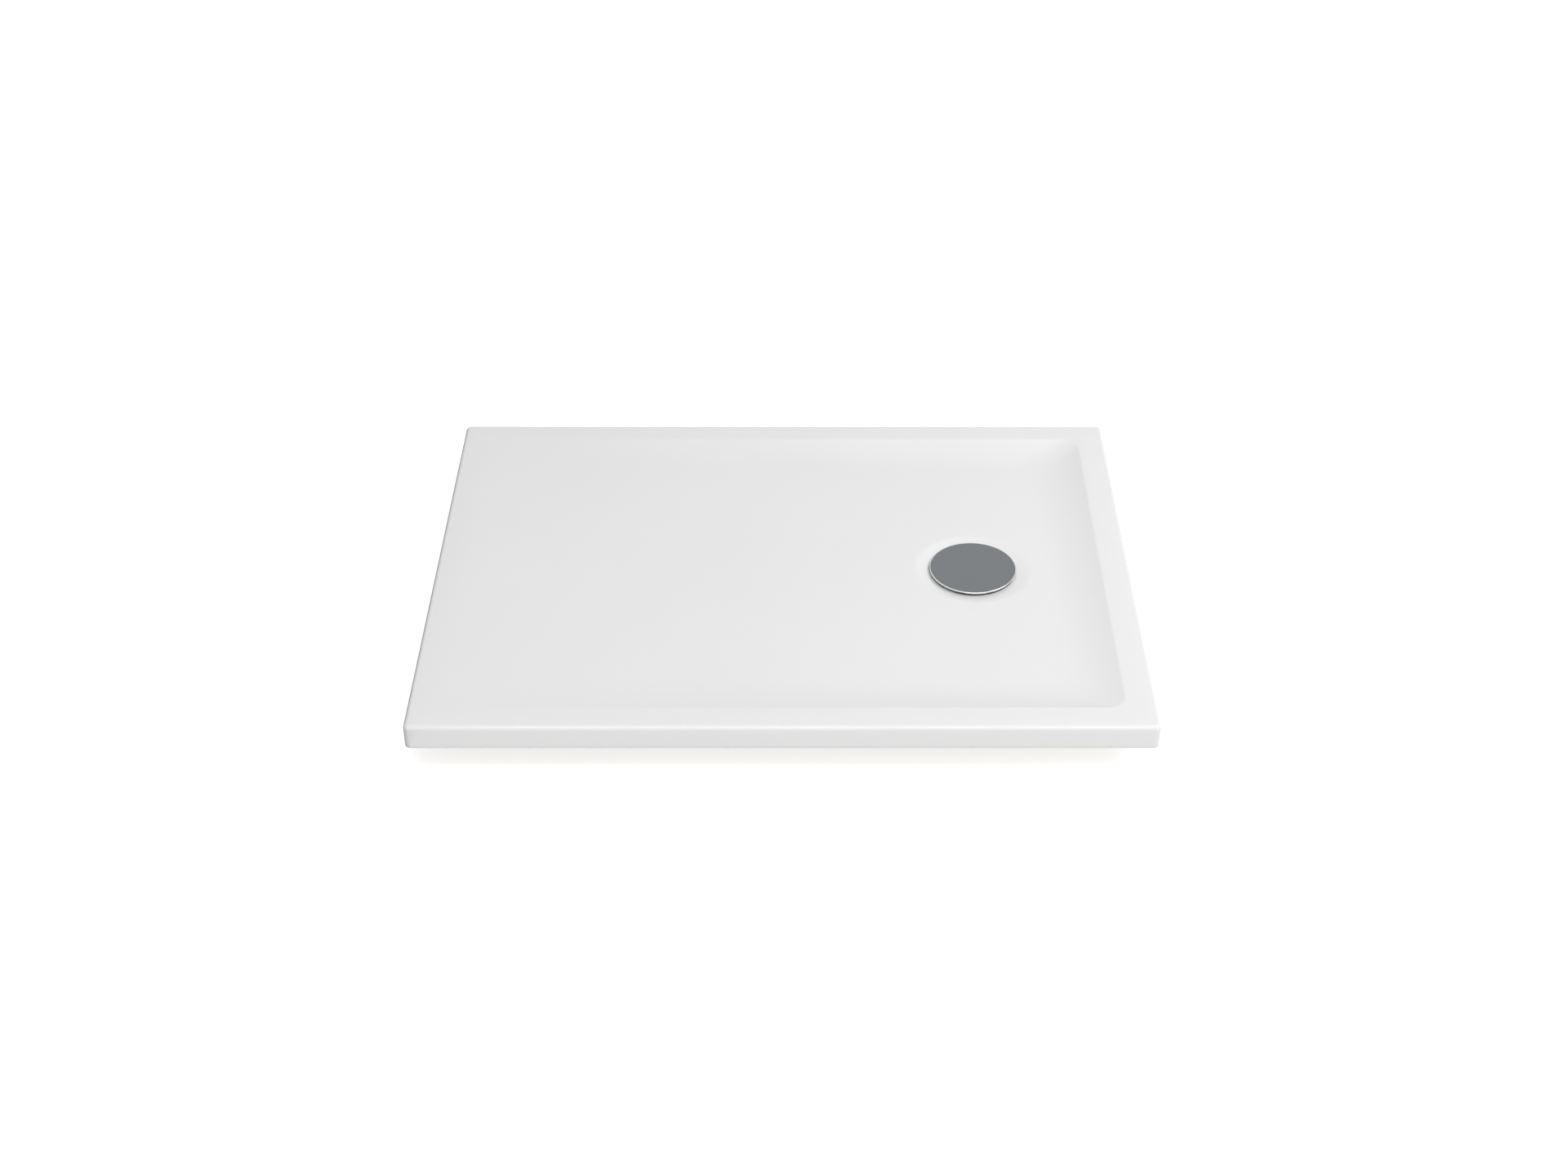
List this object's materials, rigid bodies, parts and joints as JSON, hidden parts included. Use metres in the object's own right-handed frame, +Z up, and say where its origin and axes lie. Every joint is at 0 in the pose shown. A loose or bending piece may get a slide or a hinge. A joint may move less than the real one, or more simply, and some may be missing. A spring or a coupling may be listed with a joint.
{
  "type": "shower tray",
  "caption": "Low rectangular shower tray whose floor falls to a round covered drain near one end, on levelling feet, with its trap.",
  "frame": {"origin": "on the floor that the feet stand on, under the centre of the tray's rectangle", "axes": "+X along the tray's length towards the drain's end, +Y across it to the back, +Z up"},
  "size_m": [1.2, 0.9, 0.113],
  "materials": {
    "acrylic": "gloss",
    "laminate": "matte",
    "chipboard": "matte",
    "softwood": "matte",
    "galvanised": "satin",
    "plated_steel": "satin",
    "nylon": "matte",
    "rubber": "matte",
    "stainless": "polished",
    "satin_metal": "satin",
    "polypropylene": "satin",
    "grey_plastic": "matte"
  },
  "bodies": {
    "tray": {"tray_shell": "acrylic", "glass_fibre_backing": "laminate", "base_board": "chipboard", "edge_batten_front": "softwood", "edge_batten_back": "softwood", "edge_batten_left": "softwood", "edge_batten_right": "softwood", "tapered_packer_front": "softwood", "tapered_packer_back": "softwood", "rail_front": "galvanised", "rail_back": "galvanised", "rail_screws": "plated_steel", "thread_inserts": "plated_steel", "lock_nuts": "plated_steel", "upper_seal": "rubber", "lower_seal": "rubber", "clamping_flange": "stainless", "flange_screws": "stainless", "trap_body": "polypropylene", "outlet_seal": "rubber"},
    "foot_pad_1": {"foot_pad_1": "nylon", "foot_sole_1": "rubber"},
    "foot_stud_1": {"foot_stud_1": "plated_steel"},
    "foot_pad_2": {"foot_pad_2": "nylon", "foot_sole_2": "rubber"},
    "foot_stud_2": {"foot_stud_2": "plated_steel"},
    "foot_pad_3": {"foot_pad_3": "nylon", "foot_sole_3": "rubber"},
    "foot_stud_3": {"foot_stud_3": "plated_steel"},
    "foot_pad_4": {"foot_pad_4": "nylon", "foot_sole_4": "rubber"},
    "foot_stud_4": {"foot_stud_4": "plated_steel"},
    "foot_pad_5": {"foot_pad_5": "nylon", "foot_sole_5": "rubber"},
    "foot_stud_5": {"foot_stud_5": "plated_steel"},
    "foot_pad_6": {"foot_pad_6": "nylon", "foot_sole_6": "rubber"},
    "foot_stud_6": {"foot_stud_6": "plated_steel"},
    "cup": {"trap_cup": "grey_plastic"},
    "dip_tube": {"dip_tube": "grey_plastic", "dip_tube_o_ring": "rubber"},
    "sieve": {"hair_sieve": "stainless"},
    "cover": {"drain_cover": "satin_metal", "cover_carrier": "grey_plastic"},
    "outlet_nut": {"outlet_nut": "polypropylene"},
    "outlet": {"outlet_pipe": "polypropylene"}
  },
  "joints": [
    {"name": "foot_1_travel", "type": "slide", "parent": "tray", "child": "foot_pad_1", "axis": [0, 0, -1], "range_m": [-0.003, 0.012]},
    {"name": "foot_1_turn", "type": "hinge", "parent": "foot_pad_1", "child": "foot_stud_1", "pos_m": [-0.42, -0.265, 0.02], "axis": [0, 0, -1], "range_deg": [-720.5, 2880.5]},
    {"name": "foot_2_travel", "type": "slide", "parent": "tray", "child": "foot_pad_2", "axis": [0, 0, -1], "range_m": [-0.003, 0.012]},
    {"name": "foot_2_turn", "type": "hinge", "parent": "foot_pad_2", "child": "foot_stud_2", "pos_m": [0, -0.265, 0.02], "axis": [0, 0, -1], "range_deg": [-720.5, 2880.5]},
    {"name": "foot_3_travel", "type": "slide", "parent": "tray", "child": "foot_pad_3", "axis": [0, 0, -1], "range_m": [-0.003, 0.012]},
    {"name": "foot_3_turn", "type": "hinge", "parent": "foot_pad_3", "child": "foot_stud_3", "pos_m": [0.42, -0.265, 0.02], "axis": [0, 0, -1], "range_deg": [-720.5, 2880.5]},
    {"name": "foot_4_travel", "type": "slide", "parent": "tray", "child": "foot_pad_4", "axis": [0, 0, -1], "range_m": [-0.003, 0.012]},
    {"name": "foot_4_turn", "type": "hinge", "parent": "foot_pad_4", "child": "foot_stud_4", "pos_m": [-0.42, 0.265, 0.02], "axis": [0, 0, -1], "range_deg": [-720.5, 2880.5]},
    {"name": "foot_5_travel", "type": "slide", "parent": "tray", "child": "foot_pad_5", "axis": [0, 0, -1], "range_m": [-0.003, 0.012]},
    {"name": "foot_5_turn", "type": "hinge", "parent": "foot_pad_5", "child": "foot_stud_5", "pos_m": [0, 0.265, 0.02], "axis": [0, 0, -1], "range_deg": [-720.5, 2880.5]},
    {"name": "foot_6_travel", "type": "slide", "parent": "tray", "child": "foot_pad_6", "axis": [0, 0, -1], "range_m": [-0.003, 0.012]},
    {"name": "foot_6_turn", "type": "hinge", "parent": "foot_pad_6", "child": "foot_stud_6", "pos_m": [0.42, 0.265, 0.02], "axis": [0, 0, -1], "range_deg": [-720.5, 2880.5]},
    {"name": "cup_lift", "type": "slide", "parent": "tray", "child": "cup", "axis": [0, 0, 1], "range_m": [0, 0.15]},
    {"name": "dip_tube_lift", "type": "slide", "parent": "cup", "child": "dip_tube", "axis": [0, 0, 1], "range_m": [0, 0.1]},
    {"name": "sieve_lift", "type": "slide", "parent": "dip_tube", "child": "sieve", "axis": [0, 0, 1], "range_m": [0, 0.06]},
    {"name": "cover_lift", "type": "slide", "parent": "sieve", "child": "cover", "axis": [0, 0, 1], "range_m": [0, 0.12]},
    {"name": "outlet_nut_turn", "type": "hinge", "parent": "tray", "child": "outlet_nut", "pos_m": [0.43, 0, 0.0378], "axis": [1, 0, 0], "continuous": true},
    {"name": "outlet_swivel", "type": "hinge", "parent": "tray", "child": "outlet", "pos_m": [0.43, 0, 0.0378], "axis": [0, 0, 1], "range_deg": [-6, 6]}
  ],
  "couplings": [
    {"joint": "foot_1_turn", "follows": "foot_1_travel", "rad_per_m": 4188.8},
    {"joint": "foot_2_turn", "follows": "foot_2_travel", "rad_per_m": 4188.8},
    {"joint": "foot_3_turn", "follows": "foot_3_travel", "rad_per_m": 4188.8},
    {"joint": "foot_4_turn", "follows": "foot_4_travel", "rad_per_m": 4188.8},
    {"joint": "foot_5_turn", "follows": "foot_5_travel", "rad_per_m": 4188.8},
    {"joint": "foot_6_turn", "follows": "foot_6_travel", "rad_per_m": 4188.8}
  ]
}
